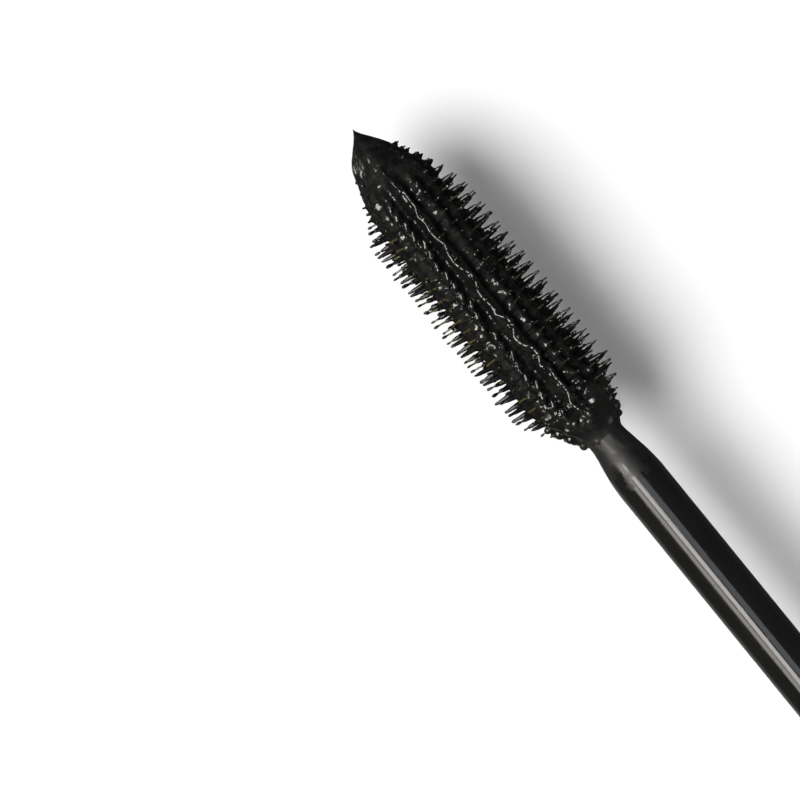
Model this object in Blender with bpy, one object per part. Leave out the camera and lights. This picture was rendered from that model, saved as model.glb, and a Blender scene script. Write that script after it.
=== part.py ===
"""A mascara lying open on a table: a double-walled tube, and its wand drawn straight out of the mouth.

The common axis runs along X, from the flat base of the tube at low X to the end of the cap at high X.
Tube pieces are modelled from the tube's base, and wand pieces from the point of the brush, both along +X.
The tube and the cap are faceted so that each lies on one flat side, on the plane Z = 0.
"""

import math

import bmesh
import bpy

MM = 0.001
SIDES = 32  # sides of every turned piece except the brush
FIT_GAP = 0.1 * MM  # left between pieces that touch on the real object

# Shells
BODY_RADIUS = 8.25 * MM
SHELL_INNER_RADIUS = 7.25 * MM
PLUG_RADIUS = SHELL_INNER_RADIUS - FIT_GAP
EDGE_CHAMFER = 0.2 * MM
AXIS_HEIGHT = BODY_RADIUS * math.cos(math.pi / SIDES)

# Tube, measured from its base
PLUG_FLANGE = 0.8 * MM
PLUG_DEPTH = 2.4 * MM
SLEEVE_TOP = 66.8 * MM
COLLAR_TOP = 69.5 * MM
NECK_TOP = 81.0 * MM
NECK_RADIUS = 5.55 * MM
NECK_BORE = 4.7 * MM
VIAL_RADIUS = 7.1 * MM
VIAL_BORE = 6.0 * MM
VIAL_FLOOR = 3.9 * MM
FILL_TOP = 56.0 * MM
FILL_BORE = 4.4 * MM

# Wiper, pressed into the neck
WIPER_FLANGE = 0.6 * MM
WIPER_MOUTH = NECK_TOP + FIT_GAP + WIPER_FLANGE
WIPER_RADIUS = NECK_BORE - FIT_GAP
WIPER_BORE = 4.0 * MM
WIPER_ORIFICE = 1.95 * MM
WIPER_LIP = 72.2 * MM

# Screw thread of the neck and the cap, with two starts
THREAD_LEAD = 4.0 * MM
THREAD_STARTS = 2
THREAD_SINK = 0.15 * MM  # how far a ridge's root lies inside its wall
MALE_THREAD_START = 72.2 * MM
MALE_THREAD_HEIGHT = 0.6 * MM

# Wand, measured from the point of the brush
BRUSH_CORE = 1.5 * MM
BRUSH_NOSE = 1.1 * MM
BRISTLE_ROWS = 14
BRISTLE_STATIONS = 26
BRISTLE_PITCH = 0.88 * MM
BRISTLE_START = 3.1 * MM
BRISTLE_REACH = 4.05 * MM  # radius of the bristle tips along the middle of the brush
BRISTLE_TIP = 0.07 * MM  # half width of a tip
BRISTLE_END = BRISTLE_START + BRISTLE_STATIONS * BRISTLE_PITCH
SHANK_RADIUS = 0.8 * MM
STEM_START = 26.7 * MM
STEM_NECK_RADIUS = 1.3 * MM
STEM_SHOULDER_END = 31.0 * MM
STEM_RADIUS = 1.85 * MM
STEM_FLANGE_RADIUS = 2.9 * MM
STEM_END = 86.4 * MM
CAP_RIM = 64.0 * MM
CAP_LENGTH = 52.0 * MM
TRIM_END = CAP_RIM + 2.2 * MM
WEIGHT_START = 89.0 * MM
WEIGHT_END = 105.0 * MM
INNER_CAP_BORE = 6.35 * MM
INNER_CAP_RADIUS = 7.0 * MM
BOSS_RADIUS = 3.4 * MM
BOSS_BORE = 2.1 * MM
BOSS_END = 87.0 * MM
WASHER_THICKNESS = 0.9 * MM

# Closed, the cap's rim stops this far from the collar; open, the wand is drawn out by DRAW_TRAVEL
RIM_GAP = 0.15 * MM
DRAW_TRAVEL = 96.0 * MM
CLOSED_WAND_X = COLLAR_TOP + RIM_GAP - CAP_RIM
OPEN_WAND_X = CLOSED_WAND_X + DRAW_TRAVEL
TOTAL_LENGTH = OPEN_WAND_X + CAP_RIM + CAP_LENGTH
TUBE_X = -TOTAL_LENGTH / 2

WASHER_START = WIPER_MOUTH - CLOSED_WAND_X + FIT_GAP
CEILING = WASHER_START + WASHER_THICKNESS + FIT_GAP  # underside of the inner cap's disc
CEILING_THICKNESS = 1.4 * MM


def clear_scene():
    for obj in list(bpy.data.objects):
        bpy.data.objects.remove(obj, do_unlink=True)


def material(name, colour, roughness, metallic=0.0):
    made = bpy.data.materials.new(name)
    made.use_nodes = True
    shader = made.node_tree.nodes["Principled BSDF"]
    shader.inputs["Base Color"].default_value = (*colour, 1.0)
    shader.inputs["Roughness"].default_value = roughness
    shader.inputs["Metallic"].default_value = metallic
    return made


def add_frame(name, x):
    """An empty on the common axis, which carries one moving group of pieces."""
    frame = bpy.data.objects.new(name, None)
    frame.location = (x, 0.0, AXIS_HEIGHT)
    bpy.context.scene.collection.objects.link(frame)
    return frame


def add_piece(mesh, frame, surface):
    piece = bpy.data.objects.new(mesh.name, mesh)
    piece.parent = frame
    mesh.materials.append(surface)
    bpy.context.scene.collection.objects.link(piece)
    return piece


def side_angle(side, sides=SIDES):
    """The angle about X of a corner, counted from +Z, with a flat side facing straight down."""
    return 2 * math.pi * (side + 0.5) / sides


def around(x, radius, angle):
    return (x, -radius * math.sin(angle), radius * math.cos(angle))


def turned_mesh(name, outline, sides=SIDES):
    """A solid turned about X from (x, radius) corners. An outline with both ends on the axis is solid
    there, and any other closes on itself as a ring."""
    shape = bmesh.new()
    corners = [shape.verts.new(around(x, radius, side_angle(0, sides))) for x, radius in outline]
    solid = outline[0][1] == 0 and outline[-1][1] == 0
    following = corners[1:] if solid else corners[1:] + corners[:1]
    edges = [shape.edges.new(pair) for pair in zip(corners, following)]
    bmesh.ops.spin(
        shape, geom=corners + edges, cent=(0, 0, 0), axis=(1, 0, 0),
        angle=2 * math.pi, steps=sides, use_merge=True,
    )
    bmesh.ops.remove_doubles(shape, verts=shape.verts, dist=0.001 * MM)
    bmesh.ops.recalc_face_normals(shape, faces=shape.faces)
    return finished_mesh(name, shape)


def finished_mesh(name, shape):
    mesh = bpy.data.meshes.new(name)
    shape.to_mesh(mesh)
    shape.free()
    mesh.shade_smooth()
    mesh.set_sharp_from_angle(angle=math.radians(35))
    return mesh


def raise_ribs(mesh, start, end, wall_radius, rib_radius, every=4):
    """Moves one corner in every few of a turned wall out to rib_radius, between start and end."""
    for vertex in mesh.vertices:
        x, y, z = vertex.co
        if not (start <= x <= end and abs(math.hypot(y, z) - wall_radius) < 0.01 * MM):
            continue
        side = round(math.atan2(-y, z) / (2 * math.pi) * SIDES - 0.5)
        if side % every == 0:
            vertex.co = (x, y * rib_radius / wall_radius, z * rib_radius / wall_radius)


def thread_mesh(name, start, turns, wall_radius, height, root_width, crest_width):
    """The ridges of a right-hand screw thread, one for each start. A negative height points them inwards."""
    shape = bmesh.new()
    steps = round(turns * SIDES)
    outward = math.copysign(1, height)
    for first in range(THREAD_STARTS):
        rings = []
        for step in range(steps + 1):
            turn = step / SIDES
            lift = min(1.0, 0.15 + step / 3, 0.15 + (steps - step) / 3)  # runs out at both ends
            x = start + THREAD_LEAD * turn
            angle = side_angle(0) + 2 * math.pi * (turn + first / THREAD_STARTS)
            root = wall_radius - outward * THREAD_SINK
            crest = wall_radius + height * lift
            section = (
                (x - root_width / 2, root), (x - crest_width / 2, crest),
                (x + crest_width / 2, crest), (x + root_width / 2, root),
            )
            rings.append([shape.verts.new(around(px, radius, angle)) for px, radius in section])
        for ring, following in zip(rings, rings[1:]):
            for k in range(4):
                n = (k + 1) % 4
                shape.faces.new((ring[k], ring[n], following[n], following[k]))
        shape.faces.new(rings[0])
        shape.faces.new(rings[-1])
    bmesh.ops.recalc_face_normals(shape, faces=shape.faces)
    return finished_mesh(name, shape)


def join_thread(piece, thread, frame, surface):
    """Unites a piece with its thread, whose own object stays as a hidden guide."""
    guide = add_piece(thread, frame, surface)
    guide.hide_render = True
    guide.display_type = "WIRE"
    joined = piece.modifiers.new("thread", "BOOLEAN")
    joined.operation = "UNION"
    joined.solver = "EXACT"
    joined.object = guide


def shell_mesh(name, start, end):
    """The plain tube that both the sleeve and the cap's shell are cut from."""
    return turned_mesh(name, (
        (start, SHELL_INNER_RADIUS),
        (start, BODY_RADIUS - EDGE_CHAMFER),
        (start + EDGE_CHAMFER, BODY_RADIUS),
        (end - EDGE_CHAMFER, BODY_RADIUS),
        (end, BODY_RADIUS - EDGE_CHAMFER),
        (end, SHELL_INNER_RADIUS),
    ))


def end_plug_mesh(name, outer_face, inward):
    """A flanged disc with a ring that presses into a shell. Inward is +1 or -1 along X."""
    flange_radius = BODY_RADIUS - 0.15 * MM
    ring_inner = PLUG_RADIUS - 0.95 * MM
    web = 1.0 * MM
    outline = (
        (0, 0),
        (0, flange_radius - EDGE_CHAMFER),
        (EDGE_CHAMFER, flange_radius),
        (PLUG_FLANGE, flange_radius),
        (PLUG_FLANGE, PLUG_RADIUS),
        (PLUG_DEPTH, PLUG_RADIUS),
        (PLUG_DEPTH, ring_inner),
        (web, ring_inner),
        (web, 0),
    )
    return turned_mesh(name, tuple((outer_face + inward * x, radius) for x, radius in outline))


def vial_mesh():
    """The inner bottle: a thin cup with a shoulder and a narrow neck."""
    floor_outside = PLUG_DEPTH + 2 * FIT_GAP
    shoulder = SLEEVE_TOP
    shoulder_top = COLLAR_TOP - 0.9 * MM - FIT_GAP
    wall = VIAL_RADIUS - VIAL_BORE
    return turned_mesh("vial", (
        (floor_outside, 0),
        (floor_outside, VIAL_RADIUS - 0.8 * MM),
        (floor_outside + 0.8 * MM, VIAL_RADIUS),
        (shoulder, VIAL_RADIUS),
        (shoulder_top, VIAL_RADIUS - 1.0 * MM),
        (shoulder_top, NECK_RADIUS),
        (NECK_TOP - EDGE_CHAMFER, NECK_RADIUS),
        (NECK_TOP, NECK_RADIUS - EDGE_CHAMFER),
        (NECK_TOP, NECK_BORE),
        (shoulder_top - wall, NECK_BORE),
        (shoulder - wall, VIAL_BORE),
        (VIAL_FLOOR + 0.8 * MM, VIAL_BORE),
        (VIAL_FLOOR, VIAL_BORE - 0.8 * MM),
        (VIAL_FLOOR, 0),
    ))


def collar_mesh():
    """The metal ring that hides the shoulder between the sleeve and the cap."""
    start = SLEEVE_TOP + FIT_GAP
    flange = COLLAR_TOP - 0.9 * MM
    groove = (start + COLLAR_TOP) / 2
    groove_half = 0.25 * MM
    return turned_mesh("collar", (
        (start, SHELL_INNER_RADIUS),
        (start, BODY_RADIUS - EDGE_CHAMFER),
        (start + EDGE_CHAMFER, BODY_RADIUS),
        (groove - groove_half, BODY_RADIUS),
        (groove, BODY_RADIUS - groove_half),
        (groove + groove_half, BODY_RADIUS),
        (COLLAR_TOP - EDGE_CHAMFER, BODY_RADIUS),
        (COLLAR_TOP, BODY_RADIUS - EDGE_CHAMFER),
        (COLLAR_TOP, NECK_RADIUS + 0.2 * MM),
        (flange, NECK_RADIUS + 0.2 * MM),
        (flange, SHELL_INNER_RADIUS),
    ))


def wiper_mesh():
    """The soft funnel that strips the stem: a flange on the lip, a sleeve in the neck and a conical lip."""
    wall = WIPER_RADIUS - WIPER_BORE
    flange_radius = NECK_RADIUS - EDGE_CHAMFER
    cone_top = WIPER_LIP + 2.2 * MM
    return turned_mesh("wiper", (
        (WIPER_MOUTH, WIPER_BORE + EDGE_CHAMFER),
        (WIPER_MOUTH, flange_radius),
        (WIPER_MOUTH - WIPER_FLANGE, flange_radius),
        (WIPER_MOUTH - WIPER_FLANGE, WIPER_RADIUS),
        (cone_top, WIPER_RADIUS),
        (WIPER_LIP, WIPER_ORIFICE + wall),
        (WIPER_LIP, WIPER_ORIFICE),
        (WIPER_LIP + 0.4 * MM, WIPER_ORIFICE),
        (cone_top, WIPER_BORE),
        (WIPER_MOUTH - EDGE_CHAMFER, WIPER_BORE),
    ))


def fill_mesh():
    """The mascara left in the vial, with the hollow that the brush has made in it."""
    radius = VIAL_BORE - FIT_GAP
    floor = VIAL_FLOOR + FIT_GAP
    hollow_floor = CLOSED_WAND_X - 0.4 * MM
    return turned_mesh("mascara_fill", (
        (floor, 0),
        (floor, radius - 0.8 * MM),
        (floor + 0.8 * MM, radius),
        (FILL_TOP, radius),
        (FILL_TOP - 2.0 * MM, FILL_BORE),
        (hollow_floor, FILL_BORE),
        (hollow_floor, 0),
    ))


def washer_mesh():
    end = WASHER_START + WASHER_THICKNESS
    inner = STEM_FLANGE_RADIUS + 0.15 * MM
    outer = INNER_CAP_BORE - 0.25 * MM
    return turned_mesh("liner_washer", (
        (WASHER_START, inner), (WASHER_START, outer), (end, outer), (end, inner),
    ))


def inner_cap_mesh():
    """The threaded insert that screws onto the neck and holds the stem in its boss."""
    rim = CAP_RIM + 0.5 * MM
    top = CEILING + CEILING_THICKNESS
    mesh = turned_mesh("inner_cap", (
        (rim, INNER_CAP_BORE + 0.3 * MM),
        (rim, INNER_CAP_RADIUS),
        (rim + 1.0 * MM, INNER_CAP_RADIUS),
        (top - 0.5 * MM, INNER_CAP_RADIUS),
        (top, INNER_CAP_RADIUS - 0.4 * MM),
        (top, BOSS_RADIUS),
        (BOSS_END, BOSS_RADIUS),
        (BOSS_END, BOSS_BORE),
        (CEILING, BOSS_BORE),
        (CEILING, INNER_CAP_BORE),
        (rim + 0.3 * MM, INNER_CAP_BORE),
    ))
    raise_ribs(mesh, rim + 0.9 * MM, top, INNER_CAP_RADIUS, PLUG_RADIUS)
    return mesh


def shoulder_outline():
    """The stem's waist behind the brush, which swells to full thickness in a smooth S."""
    steps = 6
    points = []
    for k in range(steps + 1):
        share = k / steps
        swell = math.sin(share * math.pi / 2) ** 1.15
        x = STEM_START + 0.3 * MM + share * (STEM_SHOULDER_END - STEM_START - 0.3 * MM)
        points.append((x, STEM_NECK_RADIUS + swell * (STEM_RADIUS - STEM_NECK_RADIUS)))
    return points


def cap_trim_mesh():
    """The metal ring round the cap's rim, with a groove that matches the collar's."""
    end = TRIM_END - FIT_GAP
    groove = (CAP_RIM + end) / 2
    groove_half = 0.2 * MM
    return turned_mesh("cap_trim_ring", (
        (CAP_RIM, SHELL_INNER_RADIUS),
        (CAP_RIM, BODY_RADIUS - EDGE_CHAMFER),
        (CAP_RIM + EDGE_CHAMFER, BODY_RADIUS),
        (groove - groove_half, BODY_RADIUS),
        (groove, BODY_RADIUS - groove_half),
        (groove + groove_half, BODY_RADIUS),
        (end - EDGE_CHAMFER, BODY_RADIUS),
        (end, BODY_RADIUS - EDGE_CHAMFER),
        (end, SHELL_INNER_RADIUS),
    ))


def cap_weight_mesh():
    """The steel slug pressed into the cap behind the inner cap, so that the wand feels solid."""
    chamfer = 0.5 * MM
    return turned_mesh("cap_weight", (
        (WEIGHT_START, 0),
        (WEIGHT_START, PLUG_RADIUS - chamfer),
        (WEIGHT_START + chamfer, PLUG_RADIUS),
        (WEIGHT_END - chamfer, PLUG_RADIUS),
        (WEIGHT_END, PLUG_RADIUS - chamfer),
        (WEIGHT_END, 0),
    ))


def stem_mesh():
    """The rod. Its front bore takes the brush's shank, and its rear bore is the hollow that moulding leaves."""
    socket = SHANK_RADIUS + FIT_GAP
    socket_end = 33.6 * MM
    rear_bore = 1.0 * MM
    rear_bore_end = 36.0 * MM
    flange_end = CEILING - FIT_GAP
    flange_start = flange_end - 0.8 * MM
    spline_start = flange_end + 1.5 * MM
    spline_end = STEM_END - 0.8 * MM
    mesh = turned_mesh("stem", (
        (socket_end, 0),
        (socket_end, socket),
        (STEM_START, socket),
        (STEM_START, STEM_NECK_RADIUS - 0.1 * MM),
        *shoulder_outline(),
        (flange_start, STEM_RADIUS),
        (flange_start, STEM_FLANGE_RADIUS),
        (flange_end, STEM_FLANGE_RADIUS),
        (flange_end, STEM_RADIUS),
        (spline_start, STEM_RADIUS),
        (spline_end, STEM_RADIUS),
        (STEM_END, STEM_RADIUS - 0.3 * MM),
        (STEM_END, rear_bore),
        (rear_bore_end, rear_bore),
        (rear_bore_end, 0),
    ))
    raise_ribs(mesh, spline_start, spline_end, STEM_RADIUS, BOSS_BORE - 0.08 * MM)
    return mesh


def bristle_reach(x):
    """Radius of the bristle tips: full along the middle, and tapered to both ends of the brush."""
    front = 2.0 * MM + 0.42 * (x - 2.6 * MM)
    rear = 1.95 * MM + 0.75 * (26.2 * MM - x)
    return min(BRISTLE_REACH, front, rear)


def brush_outline():
    """The bare core: a domed nose, one ring for each half pitch, and a shank with a snap bead."""
    nose_length = 1.5 * MM
    nose = [
        (BRUSH_NOSE + nose_length * (1 - math.cos(a)), BRUSH_CORE * math.sin(a))
        for a in (0, math.pi / 6, math.pi / 3, math.pi / 2)
    ]
    half = BRISTLE_PITCH / 2
    rings = [(BRISTLE_START + k * half, BRUSH_CORE) for k in range(2 * BRISTLE_STATIONS + 1)]
    bead = STEM_START + 5.0 * MM
    bead_radius = SHANK_RADIUS + 0.05 * MM
    return [
        *nose, *rings,
        (STEM_START - 0.2 * MM, SHANK_RADIUS + 0.3 * MM),
        (STEM_START - 0.1 * MM, SHANK_RADIUS),
        (bead - 0.5 * MM, SHANK_RADIUS),
        (bead, bead_radius),
        (bead + 0.5 * MM, SHANK_RADIUS),
        (bead + 1.0 * MM, SHANK_RADIUS - 0.3 * MM),
        (bead + 1.0 * MM, 0),
    ]


def brush_mesh():
    """The moulded brush: every other patch of the core, as on a chessboard, is drawn out into a bristle,
    so that neighbouring rows are staggered by half a pitch."""
    shape = bmesh.new()
    shape.from_mesh(turned_mesh("bare_core", brush_outline(), BRISTLE_ROWS))
    patches = []
    for face in shape.faces:
        centre = face.calc_center_median()
        if not BRISTLE_START < centre.x < BRISTLE_END:
            continue
        station = math.floor((centre.x - BRISTLE_START) / (BRISTLE_PITCH / 2))
        row = round(math.atan2(-centre.y, centre.z) / (2 * math.pi) * BRISTLE_ROWS)
        if (station + row) % 2 == 0:
            patches.append(face)
    drawn = bmesh.ops.extrude_discrete_faces(shape, faces=patches)["faces"]
    for face in drawn:
        centre = face.calc_center_median()
        outward = centre.copy()
        outward.x = 0
        outward.normalize()
        tip = outward * bristle_reach(centre.x)
        tip.x = centre.x
        for vertex in face.verts:
            offset = vertex.co - centre
            vertex.co = tip + offset.normalized() * BRISTLE_TIP * math.sqrt(2)
    bmesh.ops.recalc_face_normals(shape, faces=shape.faces)
    return finished_mesh("brush", shape)


def coat_mesh():
    """The paste drawn to a point over the brush's nose. It ends before the first bristles."""
    end = BRISTLE_START - FIT_GAP
    inside = BRUSH_CORE + FIT_GAP
    return turned_mesh("mascara_coat", (
        (0, 0),
        (0.55 * MM, 0.75 * MM),
        (1.65 * MM, 1.6 * MM),
        (2.3 * MM, 1.95 * MM),
        (end, 2.1 * MM),
        (end, inside),
        (BRUSH_NOSE + 0.7 * MM, inside - 0.2 * MM),
        (BRUSH_NOSE + 0.1 * MM, 0.8 * MM),
        (BRUSH_NOSE - FIT_GAP, 0.4 * MM),
        (BRUSH_NOSE - FIT_GAP, 0),
    ))


def build_tube(frame, gloss, metal, vial_plastic, wiper_plastic, paste):
    add_piece(end_plug_mesh("base_plug", 0, 1), frame, gloss)
    add_piece(shell_mesh("sleeve", PLUG_FLANGE + FIT_GAP, SLEEVE_TOP), frame, gloss)
    vial = add_piece(vial_mesh(), frame, vial_plastic)
    male = thread_mesh(
        "male_thread", MALE_THREAD_START, 1.0, NECK_RADIUS, MALE_THREAD_HEIGHT, 1.0 * MM, 0.45 * MM
    )
    join_thread(vial, male, frame, vial_plastic)
    add_piece(collar_mesh(), frame, metal)
    add_piece(wiper_mesh(), frame, wiper_plastic)
    add_piece(fill_mesh(), frame, paste)


def build_wand(frame, gloss, metal, steel, stem_plastic, insert_plastic, brush_rubber, paste):
    cap_end = CAP_RIM + CAP_LENGTH
    add_piece(shell_mesh("cap_shell", TRIM_END, cap_end - PLUG_FLANGE - FIT_GAP), frame, gloss)
    add_piece(end_plug_mesh("cap_end_plug", cap_end, -1), frame, gloss)
    add_piece(cap_trim_mesh(), frame, metal)
    add_piece(cap_weight_mesh(), frame, steel)
    inner_cap = add_piece(inner_cap_mesh(), frame, insert_plastic)
    # half a pitch behind the male ridges once the wand is home, so that the two threads interleave
    female_start = MALE_THREAD_START - THREAD_LEAD / THREAD_STARTS / 2 - CLOSED_WAND_X
    female = thread_mesh(
        "female_thread", female_start, 1.0, INNER_CAP_BORE, -0.55 * MM, 0.9 * MM, 0.45 * MM
    )
    join_thread(inner_cap, female, frame, insert_plastic)
    add_piece(stem_mesh(), frame, stem_plastic)
    add_piece(brush_mesh(), frame, brush_rubber)
    add_piece(coat_mesh(), frame, paste)


def main():
    clear_scene()
    gloss = material("gloss_black", (0.012, 0.012, 0.013), 0.12)
    metal = material("polished_metal", (0.62, 0.61, 0.60), 0.16, metallic=1.0)
    steel = material("plain_steel", (0.42, 0.42, 0.43), 0.4, metallic=1.0)
    vial_plastic = material("vial_black", (0.02, 0.02, 0.021), 0.3)
    wiper_plastic = material("wiper_natural", (0.72, 0.71, 0.68), 0.4)
    insert_plastic = material("insert_black", (0.018, 0.018, 0.019), 0.42)
    stem_plastic = material("stem_black", (0.008, 0.008, 0.008), 0.1)
    brush_rubber = material("brush_black", (0.03, 0.028, 0.022), 0.45)
    foam = material("washer_foam", (0.78, 0.78, 0.76), 0.7)
    paste = material("mascara_paste", (0.006, 0.006, 0.006), 0.14)
    tube_frame = add_frame("tube_frame", TUBE_X)
    liner_frame = add_frame("liner_frame", TUBE_X + OPEN_WAND_X)
    wand_frame = add_frame("wand_frame", TUBE_X + OPEN_WAND_X)
    build_tube(tube_frame, gloss, metal, vial_plastic, wiper_plastic, paste)
    add_piece(washer_mesh(), liner_frame, foam)
    build_wand(wand_frame, gloss, metal, steel, stem_plastic, insert_plastic, brush_rubber, paste)


main()
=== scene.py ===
"""Looks of the open mascara: a paste-loaded brush on its glossy rod, between the tube and the cap.

Turned pieces are rebuilt round and filleted on the CAD's own axis, inside the CAD's own outlines.
The paste on the brush is one lumpy skin, fused from a ridged coat, its crests, a sleeve round each bristle,
a bead on each tip, and loose strands, drops and lumps.

Throughout, s is the distance behind the brush's tip, along the wand.
"""

import math

import bmesh
import bpy
import numpy as np
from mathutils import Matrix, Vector, noise


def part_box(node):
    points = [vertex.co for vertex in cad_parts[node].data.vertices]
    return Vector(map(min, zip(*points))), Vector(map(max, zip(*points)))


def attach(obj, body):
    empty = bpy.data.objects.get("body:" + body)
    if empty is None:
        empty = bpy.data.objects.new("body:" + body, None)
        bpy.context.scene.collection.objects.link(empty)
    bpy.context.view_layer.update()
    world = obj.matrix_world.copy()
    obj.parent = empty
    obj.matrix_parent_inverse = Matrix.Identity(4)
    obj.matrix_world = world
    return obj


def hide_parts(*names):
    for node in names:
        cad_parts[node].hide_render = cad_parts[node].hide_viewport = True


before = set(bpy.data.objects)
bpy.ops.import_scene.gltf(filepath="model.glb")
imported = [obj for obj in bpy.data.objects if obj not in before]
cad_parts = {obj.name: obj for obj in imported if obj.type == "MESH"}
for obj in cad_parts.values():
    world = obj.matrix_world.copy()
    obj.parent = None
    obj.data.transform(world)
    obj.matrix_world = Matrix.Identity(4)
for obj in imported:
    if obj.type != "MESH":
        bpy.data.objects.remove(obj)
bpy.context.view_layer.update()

MM = 0.001
ROUND_SIDES = 160
FILLET_STEPS = 4
TUBE_SIDES = 8  # of bristles, sleeves and strands


def span(node):
    low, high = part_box(node)
    return low.x, high.x


def outer_radius(node):
    """Radius of the circle that just fits inside a faceted CAD node."""
    low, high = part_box(node)
    return (high.y - low.y) / 2


STEM_LOW, STEM_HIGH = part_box("stem")
AXIS_Z = (STEM_LOW.z + STEM_HIGH.z) / 2
TIP_X = span("mascara_coat")[0]  # the point of the paste
BASE_X = span("base_plug")[0]
BODY_RADIUS = outer_radius("sleeve")

# The tube, the cap and the rod
SHELL_BORE = 7.25 * MM
COLLAR_BORE = 5.75 * MM
NECK_THREAD_START = BASE_X + 72.2 * MM
CLOSED_THREAD_START = BASE_X + 71.2 * MM  # of the cap's own thread, once it is screwed home
CLOSED_GAP = 0.15 * MM  # between the closed cap's trim ring and the collar
ROD_RADIUS = 1.85 * MM
WAIST_RADIUS = 1.33 * MM
WAIST_START = 26.9 * MM
WAIST_LENGTH = 4.3 * MM

# The brush
PITCH = 0.88 * MM
ROWS = 14
ROW_STEP = 2 * math.pi / ROWS
STATIONS = 27
FIRST_STATION = 2.44 * MM
CORE_RADIUS = 1.5 * MM
BRUSH_SHIFT = -0.38 * MM  # the loaded brush hangs this far off the rod's axis, along Y
BRUSH_END = 27.1 * MM
TUFT_REACH = 4.15 * MM

# The coat of paste
COAT_RADIUS = 2.62 * MM
POINT_START = -0.50 * MM
POINT_LENGTH = 2.5 * MM
COAT_COLUMNS = 220
COAT_STEP = 0.08 * MM
VOXEL = 0.055 * MM


# ---------------------------------------------------------------- materials


def new_material(name):
    made = bpy.data.materials.new(name)
    made.use_nodes = True
    nodes = made.node_tree.nodes
    nodes.clear()
    output = nodes.new("ShaderNodeOutputMaterial")
    shader = nodes.new("ShaderNodeBsdfPrincipled")
    made.node_tree.links.new(shader.outputs[0], output.inputs[0])
    return made, shader


class Graph:
    """Short names for the few node set-ups that the materials share."""

    def __init__(self, made, shader):
        self.tree = made.node_tree
        self.shader = shader
        self.place = self.add("ShaderNodeTexCoord").outputs["Object"]

    def add(self, kind, **settings):
        node = self.tree.nodes.new(kind)
        for key, value in settings.items():
            setattr(node, key, value)
        return node

    def link(self, source, target):
        self.tree.links.new(source, target)

    def stretched(self, scale):
        mapping = self.add("ShaderNodeMapping")
        mapping.inputs["Scale"].default_value = scale
        self.link(self.place, mapping.inputs["Vector"])
        return mapping.outputs[0]

    def noise(self, scale, detail=3.0, stretch=(1, 1, 1), distortion=0.0):
        """Noise whose scale is in waves for each millimetre."""
        node = self.add("ShaderNodeTexNoise")
        node.inputs["Scale"].default_value = scale / MM
        node.inputs["Detail"].default_value = detail
        node.inputs["Distortion"].default_value = distortion
        self.link(self.stretched(stretch), node.inputs["Vector"])
        return node.outputs["Fac"]

    def cells(self, scale):
        node = self.add("ShaderNodeTexVoronoi")
        node.inputs["Scale"].default_value = scale / MM
        self.link(self.place, node.inputs["Vector"])
        return node.outputs["Distance"]

    def position(self, axis):
        split = self.add("ShaderNodeSeparateXYZ")
        self.link(self.place, split.inputs[0])
        return split.outputs[axis]

    def behind_tip(self, start, end, at_start, at_end):
        """A smooth step between two distances behind the tip, in millimetres."""
        return self.remap(self.position("X"), TIP_X + start * MM, TIP_X + end * MM, at_start, at_end)

    def beside_axis(self, start, end, at_end):
        """A smooth step up from 0 between two distances to either side of the axis, in millimetres."""
        magnitude = self.add("ShaderNodeMath", operation="ABSOLUTE")
        self.link(self.position("Y"), magnitude.inputs[0])
        return self.remap(magnitude.outputs[0], start * MM, end * MM, 0.0, at_end)

    def from_brush_axis(self):
        mapping = self.add("ShaderNodeMapping")
        mapping.inputs["Scale"].default_value = (0, 1, 1)
        mapping.inputs["Location"].default_value = (0, -BRUSH_SHIFT, -AXIS_Z)
        self.link(self.place, mapping.inputs["Vector"])
        length = self.add("ShaderNodeVectorMath", operation="LENGTH")
        self.link(mapping.outputs[0], length.inputs[0])
        return length.outputs["Value"]

    def combine(self, operation, first, second):
        node = self.add("ShaderNodeMath", operation=operation)
        self.link(first, node.inputs[0])
        self.link(second, node.inputs[1])
        return node.outputs[0]

    def remap(self, value, low, high, to_low, to_high):
        node = self.add("ShaderNodeMapRange", interpolation_type="SMOOTHSTEP")
        node.inputs["From Min"].default_value = low
        node.inputs["From Max"].default_value = high
        node.inputs["To Min"].default_value = to_low
        node.inputs["To Max"].default_value = to_high
        self.link(value, node.inputs["Value"])
        return node.outputs["Result"]

    def mix(self, factor, first, second):
        node = self.add("ShaderNodeMix", data_type="RGBA")
        node.inputs["A"].default_value = (*first, 1)
        node.inputs["B"].default_value = (*second, 1)
        self.link(factor, node.inputs["Factor"])
        return node.outputs["Result"]

    def bump(self, height, strength, depth):
        """Adds one more layer of relief on top of those already there."""
        node = self.add("ShaderNodeBump")
        node.inputs["Strength"].default_value = strength
        node.inputs["Distance"].default_value = depth
        self.link(height, node.inputs["Height"])
        if self.shader.inputs["Normal"].is_linked:
            self.link(self.shader.inputs["Normal"].links[0].from_socket, node.inputs["Normal"])
        self.link(node.outputs[0], self.shader.inputs["Normal"])

    def set(self, **values):
        """Sets the shader's inputs to numbers, colours or other nodes' outputs."""
        for key, value in values.items():
            socket = self.shader.inputs[key.replace("_", " ")]
            if hasattr(value, "is_linked"):
                self.link(value, socket)
            else:
                socket.default_value = value


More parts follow.
